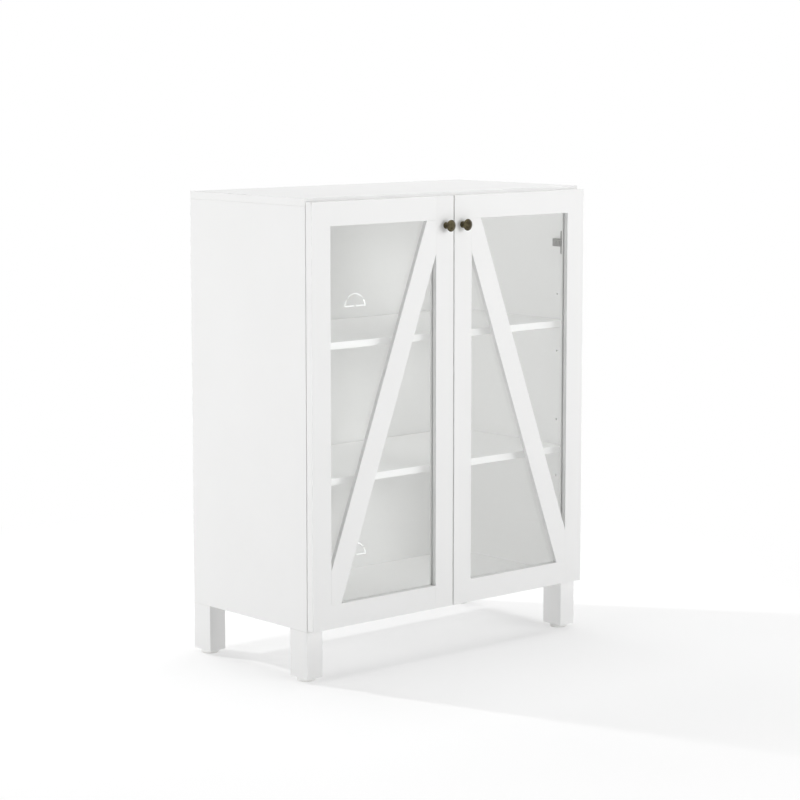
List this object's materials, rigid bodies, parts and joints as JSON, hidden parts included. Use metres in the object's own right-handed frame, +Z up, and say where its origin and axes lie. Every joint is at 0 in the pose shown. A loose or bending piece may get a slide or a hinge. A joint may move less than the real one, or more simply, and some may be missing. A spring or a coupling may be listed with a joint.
{
  "type": "glass-front cabinet",
  "caption": "White cabinet on short legs with a pair of glazed, diagonally braced doors on concealed hinges and adjustable shelves behind them.",
  "frame": {"origin": "on the floor under the middle of the outer box, knobs included", "axes": "+X right as seen from the front, +Y to the rear, +Z up"},
  "size_m": [0.783, 0.428, 1],
  "materials": {
    "white_paint": "satin white paint on board",
    "back_board": "white faced hardboard",
    "glass": "clear float glass",
    "antique_brass": "dark antique brass",
    "plated_steel": "nickel plated",
    "glide_plastic": "moulded",
    "clear_rubber": "soft",
    "dowel_wood": "bare beech"
  },
  "bodies": {
    "case": {"back_panel": "back_board", "bottom_panel": "white_paint", "cam_bolts": "plated_steel", "cam_discs": "plated_steel", "dowels": "dowel_wood", "foot_glides": "glide_plastic", "front_left_leg": "white_paint", "front_right_leg": "white_paint", "left_arm_pins": "plated_steel", "left_hinge_arms": "plated_steel", "left_hinge_plates": "plated_steel", "left_plate_screws": "plated_steel", "left_side_panel": "white_paint", "leg_bolts": "plated_steel", "leg_inserts": "plated_steel", "lower_shelf_pins": "plated_steel", "rear_left_leg": "white_paint", "rear_right_leg": "white_paint", "right_arm_pins": "plated_steel", "right_hinge_arms": "plated_steel", "right_hinge_plates": "plated_steel", "right_plate_screws": "plated_steel", "right_side_panel": "white_paint", "top_panel": "white_paint", "upper_shelf_pins": "plated_steel"},
    "lower_shelf": {"lower_shelf": "white_paint"},
    "upper_shelf": {"upper_shelf": "white_paint"},
    "left_door": {"left_outer_stile": "white_paint", "left_inner_stile": "white_paint", "left_top_rail": "white_paint", "left_bottom_rail": "white_paint", "left_brace": "white_paint", "left_glass": "glass", "left_glazing_beads": "white_paint", "left_knob": "antique_brass", "left_knob_screw": "plated_steel", "left_door_bumpers": "clear_rubber", "left_hinge_cups": "plated_steel", "left_cup_pins": "plated_steel", "left_cup_screws": "plated_steel"},
    "left_outer_links": {"left_outer_links": "plated_steel"},
    "left_inner_links": {"left_inner_links": "plated_steel"},
    "right_door": {"right_outer_stile": "white_paint", "right_inner_stile": "white_paint", "right_top_rail": "white_paint", "right_bottom_rail": "white_paint", "right_brace": "white_paint", "right_glass": "glass", "right_glazing_beads": "white_paint", "right_knob": "antique_brass", "right_knob_screw": "plated_steel", "right_door_bumpers": "clear_rubber", "right_hinge_cups": "plated_steel", "right_cup_pins": "plated_steel", "right_cup_screws": "plated_steel"},
    "right_outer_links": {"right_outer_links": "plated_steel"},
    "right_inner_links": {"right_inner_links": "plated_steel"}
  },
  "joints": [
    {"name": "left_outer_link_turn", "type": "hinge", "parent": "case", "child": "left_outer_links", "pos_m": [-0.35607, -0.15531, 0.55], "axis": [0, 0, -1], "range_deg": [-26.27, 0]},
    {"name": "left_door_open", "type": "hinge", "parent": "left_outer_links", "child": "left_door", "pos_m": [-0.38149, -0.17534, 0.55], "axis": [0, 0, -1], "range_deg": [0, 121.22]},
    {"name": "left_inner_link_turn", "type": "hinge", "parent": "case", "child": "left_inner_links", "pos_m": [-0.36126, -0.17792, 0.55], "axis": [0, 0, -1], "range_deg": [-37.29, 0]},
    {"name": "right_outer_link_turn", "type": "hinge", "parent": "case", "child": "right_outer_links", "pos_m": [0.35607, -0.15531, 0.55], "axis": [0, 0, 1], "range_deg": [-26.27, 0]},
    {"name": "right_door_open", "type": "hinge", "parent": "right_outer_links", "child": "right_door", "pos_m": [0.38149, -0.17534, 0.55], "axis": [0, 0, 1], "range_deg": [0, 121.22]},
    {"name": "right_inner_link_turn", "type": "hinge", "parent": "case", "child": "right_inner_links", "pos_m": [0.36126, -0.17792, 0.55], "axis": [0, 0, 1], "range_deg": [-37.29, 0]},
    {"name": "lower_shelf_lift", "type": "slide", "parent": "case", "child": "lower_shelf", "axis": [0, 0, 1], "range_m": [0, 0.064]},
    {"name": "upper_shelf_lift", "type": "slide", "parent": "case", "child": "upper_shelf", "axis": [0, 0, 1], "range_m": [0, 0.064]}
  ],
  "couplings": [
    {"joint": "left_outer_link_turn", "follows": "left_door_open", "ratio": -0.2163},
    {"joint": "left_inner_link_turn", "follows": "left_door_open", "ratio": -0.30721},
    {"joint": "right_outer_link_turn", "follows": "right_door_open", "ratio": -0.2163},
    {"joint": "right_inner_link_turn", "follows": "right_door_open", "ratio": -0.30721}
  ]
}
